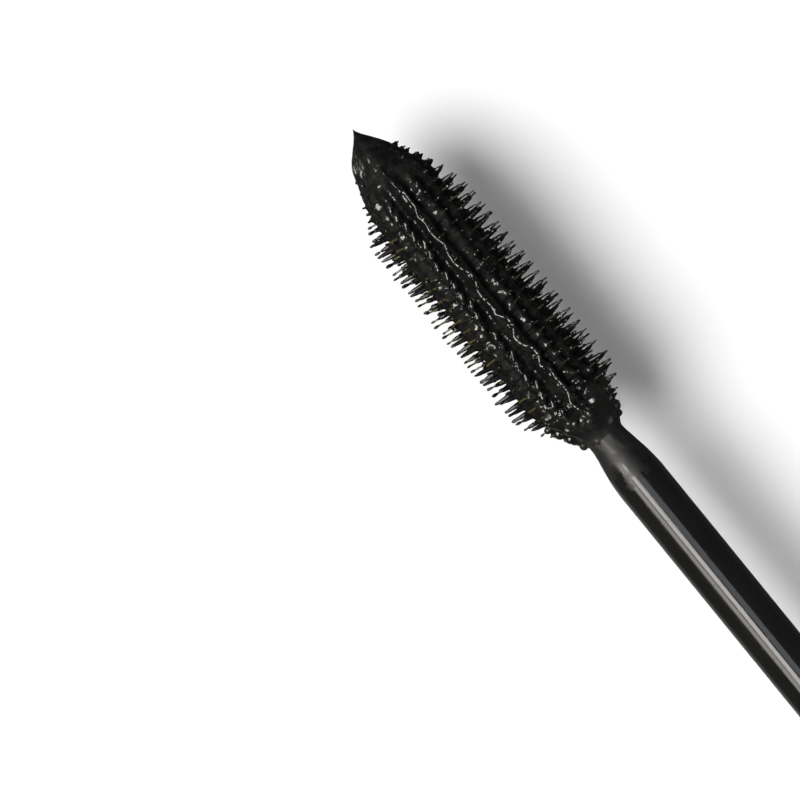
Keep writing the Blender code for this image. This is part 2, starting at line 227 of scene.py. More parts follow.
def gloss_shell(name, colour, rough=0.09):
    """Moulded and lacquered plastic, with faint handling marks and hairline scratches."""
    made, shader = new_material(name)
    g = Graph(made, shader)
    smudge = g.noise(0.12, 5.0)
    g.set(
        Base_Color=g.mix(g.noise(0.5, 4.0), colour, tuple(c * 1.6 for c in colour)),
        Roughness=g.remap(smudge, 0.42, 0.72, rough, rough + 0.16),
        Coat_Weight=0.25,
        Coat_Roughness=0.05,
    )
    scratches = g.noise(3.0, 2.0, stretch=(0.05, 1, 1), distortion=0.6)
    g.bump(g.remap(scratches, 0.62, 0.66, 0.0, 1.0), 0.12, 0.01 * MM)
    g.bump(g.noise(0.25, 1.0), 0.1, 0.03 * MM)
    return made


def turned_metal(name, colour, rough=0.2):
    """Bright metal with the fine rings that turning leaves, a little duller here and there."""
    made, shader = new_material(name)
    g = Graph(made, shader)
    rings = g.noise(9.0, 2.0, stretch=(1, 0.02, 0.02))
    g.set(
        Base_Color=g.mix(g.noise(0.4, 3.0), colour, tuple(c * 0.93 for c in colour)),
        Metallic=1.0,
        Roughness=g.remap(g.noise(0.6, 3.0), 0.35, 0.75, rough, rough + 0.07),
    )
    g.bump(rings, 0.1, 0.008 * MM)
    return made


def moulded_plastic(name, colour, rough=0.34):
    """Unlacquered plastic with flow marks and a fine spark-eroded grain."""
    made, shader = new_material(name)
    g = Graph(made, shader)
    g.set(
        Base_Color=g.mix(g.noise(0.4, 4.0, stretch=(0.3, 1, 1)), colour, tuple(c * 1.5 for c in colour)),
        Roughness=g.remap(g.noise(0.9, 3.0), 0.3, 0.7, rough - 0.06, rough + 0.1),
    )
    g.bump(g.noise(14.0, 2.0), 0.18, 0.01 * MM)
    return made


def rod_plastic(name):
    """The rod's hard gloss, with drawn-out wiping marks along it and a film of dried paste here and there."""
    made, shader = new_material(name)
    g = Graph(made, shader)
    wiped = g.noise(1.6, 4.0, stretch=(0.04, 1, 1))
    film = g.noise(0.6, 6.0, stretch=(0.35, 1, 1))
    stray = g.remap(g.noise(0.9, 4.0), 0.3, 0.7, -1.1 * MM, 1.1 * MM)
    ragged = g.combine("ADD", g.position("X"), stray)
    smeared = g.remap(ragged, TIP_X + 29.3 * MM, TIP_X + 31.2 * MM, 0.42, 0.0)
    g.set(
        Base_Color=g.mix(film, (0.0040, 0.0040, 0.0040), (0.0085, 0.0082, 0.0078)),
        Roughness=g.combine("ADD", g.remap(wiped, 0.4, 0.7, 0.10, 0.19), smeared),
        IOR=1.46,
    )
    g.bump(g.noise(1.2, 2.0, stretch=(0.06, 1, 1)), 0.16, 0.02 * MM)
    g.bump(g.noise(5.0, 3.0, stretch=(0.05, 1, 1)), 0.2, 0.008 * MM)
    g.bump(g.remap(g.noise(3.5, 3.0), 0.63, 0.7, 0.0, 1.0), 0.25, 0.012 * MM)
    return made


def bristle_rubber(name):
    """Dark olive elastomer, stained black in patches and at its front, and darkened towards +Y partly by
    paste and partly by painted shade on the side away from the key light.
    """
    made, shader = new_material(name)
    g = Graph(made, shader)
    unstained_and_lit = g.remap(g.noise(1.3, 4.0), 0.44, 0.56, 0.1, 1.0)
    # painted shade: the olive fades to black towards +Y, the side away from the key light, on top of the
    # paste stain
    unstained_and_lit = g.combine("MULTIPLY", unstained_and_lit, g.remap(g.position("Y"), -1.6 * MM, 1.0 * MM, 1.0, 0.1))
    unstained_and_lit = g.combine("MULTIPLY", unstained_and_lit, g.behind_tip(5.0, 7.5, 0.0, 1.0))
    g.set(
        Base_Color=g.mix(unstained_and_lit, (0.008, 0.0075, 0.005), (0.14, 0.12, 0.042)),
        Roughness=g.remap(g.noise(2.6, 3.0), 0.3, 0.7, 0.3, 0.5),
        Coat_Weight=0.3,
        Coat_Roughness=0.2,
    )
    g.bump(g.noise(9.0, 3.0), 0.2, 0.02 * MM)
    return made


def wet_paste(name, rough=0.13):
    """Mascara: black, wettest on its crests, the peak's -Y cheek and the root, and dull in the hollows, down
    the sides and in the film on the rod."""
    made, shader = new_material(name)
    g = Graph(made, shader)
    dry = g.remap(g.noise(0.8, 5.0), 0.46, 0.7, 0.0, 1.0)
    hollow = g.remap(g.from_brush_axis(), 2.92 * MM, 3.1 * MM, 0.42, 0.0)
    off_cheek = g.remap(g.position("Y"), -1.35 * MM, -1.0 * MM, 0.0, 1.0)
    off_cheek = g.combine("MAXIMUM", off_cheek, g.behind_tip(2.6, 3.6, 0.0, 1.0))
    off_root = g.behind_tip(23.0, 24.2, 1.0, 0.0)
    hollow = g.combine("MULTIPLY", hollow, g.combine("MULTIPLY", off_cheek, off_root))
    hollow = g.combine("MULTIPLY", hollow, g.remap(g.noise(2.3, 3.0), 0.56, 0.62, 1.0, 0.0))
    rim = g.beside_axis(2.2, 3.2, 0.12)
    matt = g.combine("ADD", rim, g.combine("ADD", hollow, g.behind_tip(25.7, 26.6, 0.0, 0.38)))
    dulled = g.combine("ADD", hollow, g.beside_axis(2.2, 3.2, 0.2))
    dulled = g.combine("ADD", g.behind_tip(25.7, 26.6, 0.0, 0.15), dulled)
    g.set(
        Base_Color=g.mix(dry, (0.0042, 0.0042, 0.0041), (0.0095, 0.0090, 0.0082)),
        Roughness=g.combine("ADD", g.remap(dry, 0.0, 1.0, rough, rough + 0.12), matt),
        Specular_IOR_Level=g.remap(dulled, 0.0, 0.42, 0.72, 0.07),
        IOR=1.5,
    )
    g.bump(g.noise(1.6, 4.0, distortion=0.4), 0.15, 0.05 * MM)
    drawn_out = g.noise(3.2, 3.0, stretch=(0.16, 1, 1))
    g.bump(g.combine("MULTIPLY", drawn_out, g.behind_tip(2.2, 3.6, 1.0, 0.0)), 0.5, 0.06 * MM)
    g.bump(g.combine("MULTIPLY", g.noise(5.0, 2.0, stretch=(1, 0.15, 0.5)), rim), 1.0, 0.3 * MM)
    g.bump(g.noise(3.4, 3.0), 0.5, 0.028 * MM)
    g.bump(g.noise(8.0, 3.0), 0.22, 0.012 * MM)
    return made


def soft_wiper_plastic(name, stain_start):
    """Milky soft plastic, smeared with paste where the brush has passed."""
    made, shader = new_material(name)
    g = Graph(made, shader)
    depth = g.remap(g.position("X"), stain_start - 6 * MM, stain_start, 0.55, 0.0)
    smear = g.noise(0.9, 5.0, stretch=(0.5, 1, 1))
    stained = g.remap(g.combine("ADD", depth, smear), 0.56, 0.66, 0.0, 1.0)
    g.set(
        Base_Color=g.mix(stained, (0.72, 0.71, 0.67), (0.01, 0.01, 0.01)),
        Roughness=g.remap(stained, 0.0, 1.0, 0.36, 0.15),
        Subsurface_Weight=0.25,
        Subsurface_Radius=(1.0, 0.9, 0.8),
        Subsurface_Scale=0.6 * MM,
    )
    g.bump(g.noise(4.0, 3.0), 0.25, 0.02 * MM)
    return made


def closed_foam(name):
    """White expanded foam with small closed cells, marked by the neck."""
    made, shader = new_material(name)
    g = Graph(made, shader)
    marks = g.remap(g.noise(0.8, 4.0), 0.55, 0.7, 0, 1)
    g.set(
        Base_Color=g.mix(marks, (0.78, 0.78, 0.75), (0.2, 0.19, 0.18)),
        Roughness=0.75,
        Subsurface_Weight=0.2,
        Subsurface_Scale=0.4 * MM,
    )
    g.bump(g.cells(5.0), 0.5, 0.04 * MM)
    return made


def studio_floor(name):
    """Matt white, with no gloss of its own."""
    made, shader = new_material(name)
    g = Graph(made, shader)
    g.set(
        Base_Color=g.mix(g.noise(0.01, 2.0), (0.80, 0.80, 0.80), (0.82, 0.82, 0.82)),
        Roughness=0.9,
        Specular_IOR_Level=0.0,
    )
    return made


GLOSS = gloss_shell("black_gloss", (0.011, 0.011, 0.012))
METAL = turned_metal("silver_collar", (0.66, 0.65, 0.64))
STEEL = turned_metal("plain_steel", (0.42, 0.42, 0.43), 0.38)
VIAL = moulded_plastic("vial_plastic", (0.016, 0.016, 0.017), 0.24)
INSERT = moulded_plastic("insert_plastic", (0.016, 0.016, 0.017), 0.4)
ROD = rod_plastic("rod_gloss")
RUBBER = bristle_rubber("brush_elastomer")
PASTE = wet_paste("wet_mascara")
WIPER = soft_wiper_plastic("wiper_milky", span("wiper")[1])
FOAM = closed_foam("liner_foam")


# ---------------------------------------------------------------- shapes


def finish_piece(mesh, surface, body, slot, *nodes, crease=35):
    """Puts a mesh in the scene as a piece that rides the body and stands in for the CAD nodes."""
    mesh.materials.append(surface)
    mesh.shade_smooth()
    mesh.set_sharp_from_angle(angle=math.radians(crease))
    piece = bpy.data.objects.new(mesh.name, mesh)
    bpy.context.scene.collection.objects.link(piece)
    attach(piece, body)
    if nodes:
        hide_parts(*nodes)
    return piece


def filleted(corners):
    """Rounds off each (x, radius, fillet) corner of a closed outline."""
    points = []
    count = len(corners)
    for k, (x, r, fillet) in enumerate(corners):
        here = Vector((x, r))
        before = Vector(corners[k - 1][:2]) - here
        after = Vector(corners[(k + 1) % count][:2]) - here
        if not fillet:
            points.append((x, r))
            continue
        reach = min(fillet, before.length * 0.45, after.length * 0.45)
        start = here + before.normalized() * reach
        end = here + after.normalized() * reach
        for step in range(FILLET_STEPS + 1):
            t = step / FILLET_STEPS
            point = start * (1 - t) ** 2 + here * 2 * t * (1 - t) + end * t**2
            points.append((point.x, max(point.y, 0.0)))
    return points


def turned(name, corners, sides=ROUND_SIDES):
    """A ring turned about the common axis, or a solid if the outline starts and ends on the axis."""
    outline = filleted(corners)
    solid = outline[0][1] == 0 and outline[-1][1] == 0
    angles = np.arange(sides) * 2 * math.pi / sides
    shape = bmesh.new()
    rings = []
    for x, r in outline:
        if r < 1e-7:  # on the axis
            rings.append([shape.verts.new((x, 0, AXIS_Z))] * sides)
        else:
            around = [(x, -r * math.sin(a), AXIS_Z + r * math.cos(a)) for a in angles]
            rings.append([shape.verts.new(point) for point in around])
    following = rings[1:] if solid else rings[1:] + rings[:1]
    for ring, after in zip(rings, following):
        for k in range(sides):
            n = (k + 1) % sides
            corners_used = dict.fromkeys((ring[k], ring[n], after[n], after[k]))
            if len(corners_used) > 2:
                shape.faces.new(corners_used)
    bmesh.ops.recalc_face_normals(shape, faces=shape.faces)
    mesh = bpy.data.meshes.new(name)
    shape.to_mesh(mesh)
    shape.free()
    return mesh


def thread(name, start, wall, height, root_width, crest_width):
    """The ridges of a two-start right-hand thread of one turn, as closed solids sunk into the wall. A
    negative height points inwards."""
    lead, starts, steps = 4 * MM, 2, 96
    sunk = math.copysign(0.1 * MM, height)
    half_cad_side = 0.5 / 32
    shape = bmesh.new()
    for first in range(starts):
        rings = []
        for step in range(steps + 1):
            share = step / steps
            lift = math.sin(min(1.0, 6 * share, 6 * (1 - share)) * math.pi / 2)
            x = start + lead * share
            a = 2 * math.pi * (share + first / starts + half_cad_side)
            root = wall - sunk
            crest = wall + height * max(lift, 0.02)
            shoulder = root + 0.8 * (crest - root)
            section = (
                (-root_width / 2, root), (-crest_width * 0.62, shoulder), (-crest_width * 0.36, crest),
                (crest_width * 0.36, crest), (crest_width * 0.62, shoulder), (root_width / 2, root),
            )
            points = [(x + dx, -r * math.sin(a), AXIS_Z + r * math.cos(a)) for dx, r in section]
            rings.append([shape.verts.new(point) for point in points])
        for ring, after in zip(rings, rings[1:]):
            for k in range(len(ring)):
                n = (k + 1) % len(ring)
                shape.faces.new((ring[k], ring[n], after[n], after[k]))
        shape.faces.new(rings[0])
        shape.faces.new(rings[-1])
    bmesh.ops.recalc_face_normals(shape, faces=shape.faces)
    mesh = bpy.data.meshes.new(name)
    shape.to_mesh(mesh)
    shape.free()
    return mesh


# ---------------------------------------------------------------- tube and cap


def shell_corners(x0, x1, outer, inner, edge=0.22 * MM):
    return [(x0, inner, 0.05 * MM), (x0, outer, edge), (x1, outer, edge), (x1, inner, 0.05 * MM)]


def grooved_corners(x0, x1, outer, inner, depth):
    """A ring with a V groove round its middle."""
    middle = (x0 + x1) / 2
    return [
        (x0, inner, 0), (x0, outer, 0.2 * MM),
        (middle - depth, outer, 0.06 * MM), (middle, outer - depth, 0.05 * MM),
        (middle + depth, outer, 0.06 * MM), (x1, outer, 0.2 * MM), (x1, inner, 0),
    ]


def end_plug_corners(face, inward, flange):
    """The flanged disc that closes a shell, with a shallow dished middle on its outer face."""
    pressed_in, wall = 7.1 * MM, 0.95 * MM
    corners = (
        (0.25, 0, 0), (0.25, 5.2 * MM, 0.3 * MM), (0, 5.6 * MM, 0.25 * MM), (0, flange, 0.3 * MM),
        (0.8, flange, 0.05 * MM), (0.8, pressed_in, 0), (2.4, pressed_in, 0.15 * MM),
        (2.4, pressed_in - wall, 0.1 * MM), (1.0, pressed_in - wall, 0), (1.0, 0, 0),
    )
    return [(face + inward * depth * MM, radius, fillet) for depth, radius, fillet in corners]


def make_tube():
    finish_piece(
        turned("tube_base_plug", end_plug_corners(BASE_X, 1, outer_radius("base_plug"))),
        GLOSS, "tube", "shell_gloss", "base_plug",
    )
    finish_piece(
        turned("tube_sleeve", shell_corners(*span("sleeve"), BODY_RADIUS, SHELL_BORE)),
        GLOSS, "tube", "shell_gloss", "sleeve",
    )
    make_collar()
    make_vial()
    make_wiper()
    make_fill()


def make_collar():
    x0, x1 = span("collar")
    flange = x1 - 0.9 * MM
    corners = grooved_corners(x0, x1, BODY_RADIUS, COLLAR_BORE, 0.25 * MM)
    corners = [(x0, SHELL_BORE, 0), *corners[1:], (flange, COLLAR_BORE, 0), (flange, SHELL_BORE, 0)]
    finish_piece(turned("tube_collar", corners), METAL, "tube", "collar_metal", "collar")


def make_vial():
    x0, x1 = span("vial")
    shoulder = span("sleeve")[1]
    shoulder_top = span("collar")[1] - 1.0 * MM
    body, neck, bore, inside = 7.06 * MM, 5.52 * MM, 4.7 * MM, 6.0 * MM
    wall, base_thickness = 1.1 * MM, 1.3 * MM
    finish_piece(
        turned("tube_vial", [
            (x0, 0, 0), (x0, body, 0.8 * MM), (shoulder, body, 0.3 * MM),
            (shoulder_top, body - 1.0 * MM, 0.2 * MM), (shoulder_top, neck, 0.15 * MM),
            (x1, neck, 0.25 * MM), (x1, bore, 0.15 * MM), (shoulder_top - wall, bore, 0.3 * MM),
            (shoulder - wall, inside, 0.4 * MM), (x0 + base_thickness, inside, 0.8 * MM),
            (x0 + base_thickness, 0, 0),
        ]),
        VIAL, "tube", "vial_plastic", "vial",
    )
    ridges = thread("neck_thread", NECK_THREAD_START, neck, 0.6 * MM, 1.0 * MM, 0.45 * MM)
    finish_piece(ridges, VIAL, "tube", "vial_plastic")


def make_wiper():
    x0, x1 = span("wiper")
    bore, orifice, wall, flange = 4.0 * MM, 1.97 * MM, 0.6 * MM, outer_radius("wiper")
    cone_top = x0 + 2.2 * MM
    finish_piece(
        turned("neck_wiper", [
            (x1, bore + 0.1 * MM, 0.2 * MM), (x1, flange, 0.15 * MM),
            (x1 - wall, flange, 0.1 * MM), (x1 - wall, bore + wall, 0.1 * MM),
            (cone_top, bore + wall, 0.8 * MM), (x0, orifice + wall, 0.12 * MM), (x0, orifice, 0.12 * MM),
            (x0 + 0.4 * MM, orifice, 0.2 * MM), (cone_top, bore, 0.8 * MM),
            (x1 - 0.8 * MM, bore, 0.3 * MM),
        ]),
        WIPER, "tube", "wiper_plastic", "wiper",
    )


def make_fill():
    """The paste left in the vial: a lining that the brush has dragged into rings. The closed brush's tip
    stays clear of its floor."""
    x0, x1 = span("mascara_fill")
    outer, bore, closed_floor = 5.85 * MM, 4.95 * MM, x0 + 0.85 * MM
    drags, lip, fillet = 22, 0.4 * MM, 0.6 * MM
    inner = []
    for k in range(drags):
        x = x1 - lip + (closed_floor - x1 + lip) * k / (drags - 1)
        inner.append((x, bore + 0.2 * MM * noise.noise(Vector((k * 0.71, 3.1, 0))), fillet))
    corners = [(x0, 0, 0), (x0, outer, fillet), (x1, outer, fillet), *inner, (closed_floor, 0, 0)]
    mesh = turned("paste_in_vial", corners)
    finish_piece(mesh, PASTE, "tube", "mascara_paste", "mascara_fill")


def make_cap():
    end = span("cap_end_plug")[1]
    finish_piece(
        turned("cap_trim", grooved_corners(*span("cap_trim_ring"), BODY_RADIUS, SHELL_BORE, 0.2 * MM)),
        METAL, "wand", "collar_metal", "cap_trim_ring",
    )
    finish_piece(
        turned("cap_outer_shell", shell_corners(*span("cap_shell"), BODY_RADIUS, SHELL_BORE)),
        GLOSS, "wand", "shell_gloss", "cap_shell",
    )
    finish_piece(
        turned("cap_end_disc", end_plug_corners(end, -1, outer_radius("cap_end_plug"))),
        GLOSS, "wand", "shell_gloss", "cap_end_plug",
    )
    make_inner_cap()
    x0, x1 = span("liner_washer")
    inner, outer, edge = 3.05 * MM, outer_radius("liner_washer"), 0.25 * MM
    corners = [(x0, inner, edge), (x0, outer, edge), (x1, outer, edge), (x1, inner, edge)]
    finish_piece(turned("cap_liner_ring", corners), FOAM, "liner", "washer_foam", "liner_washer")


def make_inner_cap():
    x0, boss_end = span("inner_cap")
    ceiling = span("liner_washer")[1] + 0.1 * MM
    top = ceiling + 1.4 * MM
    bore, outer, boss, socket = 6.33 * MM, 6.96 * MM, 3.38 * MM, 2.1 * MM
    finish_piece(
        turned("cap_insert", [
            (x0, bore + 0.2 * MM, 0.15 * MM), (x0, outer, 0.15 * MM), (top, outer, 0.4 * MM),
            (top, boss, 0.3 * MM), (boss_end, boss, 0.2 * MM), (boss_end, socket, 0.1 * MM),
            (ceiling, socket, 0), (ceiling, bore, 0.2 * MM),
        ]),
        INSERT, "wand", "insert_plastic", "inner_cap",
    )
    way_home = span("collar")[1] + CLOSED_GAP - span("cap_trim_ring")[0]
    start = CLOSED_THREAD_START - way_home
    ridges = thread("insert_thread", start, bore, -0.55 * MM, 0.9 * MM, 0.45 * MM)
    finish_piece(ridges, INSERT, "wand", "insert_plastic")


def make_stem():
    """The rod, with its waist swelling to full thickness in one smooth curve."""
    x0, x1 = span("stem")
    flange = outer_radius("stem")
    flange_end = span("liner_washer")[1]
    flange_start = flange_end - 0.8 * MM
    hollow, hollow_start = 1.0 * MM, x0 + 10 * MM
    swell = np.linspace(WAIST_START, WAIST_START + WAIST_LENGTH, 15)
    finish_piece(
        turned("wand_rod", [
            (x0, 0, 0), (x0, WAIST_RADIUS - 0.08 * MM, 0.05 * MM),
            *((TIP_X + s, float(rod_radius(s)), 0) for s in swell),
            (flange_start, ROD_RADIUS, 0.2 * MM), (flange_start, flange, 0.1 * MM),
            (flange_end, flange, 0.1 * MM), (flange_end, ROD_RADIUS, 0), (x1, ROD_RADIUS, 0.3 * MM),
            (x1, hollow, 0.1 * MM), (hollow_start, hollow, 0), (hollow_start, 0, 0),
        ], sides=128),
        ROD, "wand", "stem_plastic", "stem", crease=50,
    )


# ---------------------------------------------------------------- brush


def rising(s, start, length):
    """0 as far as the start, and then straight up to 1 over the length."""
    return np.clip((s - start) / length, 0, 1)


def falling(s, end, length):
    """1, and then straight down over the length to 0 at the end."""
    return np.clip((end - s) / length, 0, 1)


def hump(value, middle, width):
    return np.exp(-(((value - middle) / width) ** 2))


def brush_point(s, angle, radius):
    """A point round the brush's axis, which is shifted by BRUSH_SHIFT except near its ends. Angle 0 faces up
    and grows towards +Y."""
    fade = falling(s, BRUSH_END, 6 * MM) * (0.46 + 0.54 * rising(s, -0.4 * MM, 2.8 * MM))
    fade = fade * fade * (3 - 2 * fade)
    return np.stack([
        TIP_X + s,
        BRUSH_SHIFT * fade + radius * np.sin(angle),
        AXIS_Z + radius * np.cos(angle),
    ], axis=-1)


def tuft_reach(s):
    """Radius of the bristle tips, tapered to both ends of the brush."""
    front = 2.07 * MM + 0.42 * (s - 2.6 * MM)
    rear = 2.05 * MM + 0.72 * (26.2 * MM - s)
    return np.minimum(TUFT_REACH, np.minimum(front, rear))


def wrapped(angle):
    """The same angle, from -pi to pi."""
    return (angle + math.pi) % (2 * math.pi) - math.pi


class Tufts:
    """Where every bristle stands, how it leans and how long it is."""

    def __init__(self):
        draw = np.random.default_rng(7)
        row, station = np.meshgrid(np.arange(ROWS), np.arange(STATIONS), indexing="ij")
        self.row, self.station = row.ravel(), station.ravel()
        self.count = self.row.size
        half_step = (self.row % 2) * 0.5
        self.s = FIRST_STATION + (self.station + half_step) * PITCH
        self.angle = wrapped(self.row * ROW_STEP)
        self.lean_s = -0.055 + 0.115 * np.sin(self.angle) + draw.normal(0, 0.035, self.count)
        # the bristles of row 4 cling to those of row 3, and in front the paste joins them in clusters
        self.lean_s[self.row == 4] -= 0.10
        self.cluster = np.isin(self.row, (3, 4)) * falling(self.s, 7.6 * MM, 2.6 * MM)
        self.lean_s -= (self.row == 4) * 0.15 * self.cluster
        self.lean_s[self.row == 10] += 0.035
        self.lean_angle = draw.normal(0, 0.022, self.count)
        self.bend = draw.normal(0, 0.06 * MM, (2, self.count))
        # the paste buries the bristles under the crests, at the root and on the peak's -Y side
        buried = (self.row == 1) * 0.22 * MM + np.isin(self.row, (0, ROWS - 1)) * 0.45 * MM
        buried += np.isin(self.row, (0, 1, ROWS - 1)) * (self.s > 23 * MM) * 0.3 * MM
        buried += (self.row == 10) * 0.58 * MM * falling(self.s, 6 * MM, 2 * MM)
        buried += (self.row == 11) * 0.18 * MM * falling(self.s, 6 * MM, MM)
        buried -= np.isin(self.row, (3, 4)) * 0.24 * MM * falling(self.s, 7.5 * MM, 2 * MM)
        self.reach = tuft_reach(self.s) - buried + draw.normal(0, 0.06 * MM, self.count)
        self.load = draw.normal(1.0, 0.2, self.count)
        self.bead = draw.uniform(0.0, 1.0, self.count)

    def along(self, t, chosen=slice(None), beside=0.0):
        """Points on the chosen bristles at the share t of the way from the core to the tip."""
        root = CORE_RADIUS * 0.9
        radius = root + (self.reach[chosen] - root) * t
        free = radius - CORE_RADIUS
        s = self.s[chosen] + free * self.lean_s[chosen] + self.bend[0][chosen] * t**2 + beside
        turn = self.lean_angle[chosen] * t + self.bend[1][chosen] * t**2 / TUFT_REACH
        return brush_point(s, self.angle[chosen] + turn, radius)


def tubes(centres, radii):
    """Closed tubes through (count, rings, 3) centres with (count, rings) radii, as vertices and faces."""
    no_tube_runs_along = np.array((0.31, 0.2, 0.93))
    count, rings = radii.shape
    sides = TUBE_SIDES
    run = centres[:, -1] - centres[:, 0]
    run /= np.linalg.norm(run, axis=1, keepdims=True)
    side = np.cross(run, no_tube_runs_along)
    side /= np.linalg.norm(side, axis=1, keepdims=True)
    other = np.cross(run, side)
    turn = np.arange(sides) * 2 * math.pi / sides
    ring = side[:, None] * np.cos(turn)[None, :, None] + other[:, None] * np.sin(turn)[None, :, None]
    points = centres[:, :, None] + ring[:, None] * radii[:, :, None, None]
    ends = np.stack([centres[:, 0], centres[:, -1]], axis=1)
    vertices = np.concatenate([points.reshape(count, -1, 3), ends], axis=1)
    each = rings * sides + 2
    faces = []
    for k in range(rings - 1):
        for j in range(sides):
            n = (j + 1) % sides
            faces.append((k * sides + j, k * sides + n, (k + 1) * sides + n, (k + 1) * sides + j))
    first, last = rings * sides, rings * sides + 1
    caps = [(first, (j + 1) % sides, j) for j in range(sides)]
    top = (rings - 1) * sides
    caps += [(last, top + j, top + (j + 1) % sides) for j in range(sides)]
    offsets = np.arange(count)[:, None, None] * each
    quads = (np.array(faces)[None] + offsets).reshape(-1, 4)
    triangles = (np.array(caps)[None] + offsets).reshape(-1, 3)
    return vertices.reshape(-1, 3), quads.tolist() + triangles.tolist()


def merged_mesh(name, parts):
    """One mesh of several (points, faces) parts."""
    vertices, faces, start = [], [], 0
    for points, polygons in parts:
        vertices.append(points)
        faces += [[index + start for index in polygon] for polygon in polygons]
        start += len(points)
    mesh = bpy.data.meshes.new(name)
    mesh.from_pydata(np.concatenate(vertices).tolist(), [], faces)
    shape = bmesh.new()
    shape.from_mesh(mesh)
    bmesh.ops.recalc_face_normals(shape, faces=shape.faces)
    shape.to_mesh(mesh)
    shape.free()
    return mesh


def bristle_parts(tufts):
    rings = 9
    shares = np.linspace(0, 1, rings)
    centres = np.stack([tufts.along(t) for t in shares], axis=1)
    profile = 0.05 * MM * (1 - shares) + 0.06 * MM
    profile[-1] = 0.03 * MM
    return tubes(centres, np.tile(profile, (tufts.count, 1)))


def grid_faces(rows, columns):
    """The faces of a tube of points, ring after ring, with a flat face over either end."""
    faces = []
    for k in range(rows - 1):
        for j in range(columns):
            n = (j + 1) % columns
            faces.append([k * columns + j, k * columns + n, (k + 1) * columns + n, (k + 1) * columns + j])
    faces.append(list(range(columns)))
    faces.append([(rows - 1) * columns + j for j in range(columns)])
    return faces


def core_part():
    """The bare core, domed at the nose, with its shank running on into the rod."""
    sides = 48
    stations = np.array((
        (1.1, 0.02), (1.2, 0.55), (1.5, 1.05), (2.0, 1.38), (2.6, 1.5), (25.9, 1.5), (26.4, 1.1),
        (26.7, 0.8), (33.0, 0.02),
    )) * MM
    turn = np.arange(sides) * 2 * math.pi / sides
    points = [brush_point(np.full(sides, s), turn, np.full(sides, radius)) for s, radius in stations]
    return np.concatenate(points), grid_faces(len(stations), sides)


# ---------------------------------------------------------------- paste


def field(points, scale, seed):
    """Smooth noise from -1 to 1 at (n, 3) points, with scale in waves for each millimetre."""
    shifted = points * (scale / MM) + np.array([seed * 13.7, seed * 5.3, seed * 9.1])
    return np.array([noise.noise(Vector(p)) for p in shifted])


# Paste by row, from the one that faces up round by +Y: how high the web between its bristles stands, how
# far it climbs each bristle, and how thick it is there at the foot and at the top.
WEB = (0.74, 0.34, 0.26, 0.22, 0.2, 0.2, 0.3, 0.4, 0.3, 0.2, 0.16, 0.2, 0.34, 0.46)
CLIMB = (0.9, 0.66, 0.45, 1.0, 1.0, 0.8, 0.7, 0.7, 0.7, 0.8, 0.95, 0.95, 0.34, 0.6)
FOOT = (0.26, 0.27, 0.24, 0.31, 0.3, 0.3, 0.3, 0.3, 0.3, 0.3, 0.33, 0.34, 0.22, 0.26)
CROWN = (0.10, 0.11, 0.11, 0.06, 0.07, 0.11, 0.11, 0.11, 0.11, 0.11, 0.12, 0.12, 0.11, 0.10)


def rod_radius(s):
    """Radius of the rod's waist, which swells to full thickness behind the brush."""
    t = rising(s, WAIST_START, WAIST_LENGTH)
    return WAIST_RADIUS + (ROD_RADIUS - WAIST_RADIUS) * np.sin(t * math.pi / 2) ** 1.5


def peak_radius(s):
    """Radius of the coat near its point: a hollow-sided spike that swells to the full coat."""
    radius = COAT_RADIUS * (1 - np.exp(-((s - POINT_START) / POINT_LENGTH) ** 1.55))
    radius = radius * (1 - 0.4 * hump(s, POINT_START, 0.8 * MM))
    return radius - 0.12 * MM * hump(s, 3.0 * MM, 0.8 * MM)


def cheek_depth(angle):
    """How far the peak's two flat cheeks lie inside its full round, as a share of the radius."""
    return 0.14 * hump(np.abs(angle), 0.6, 0.3)


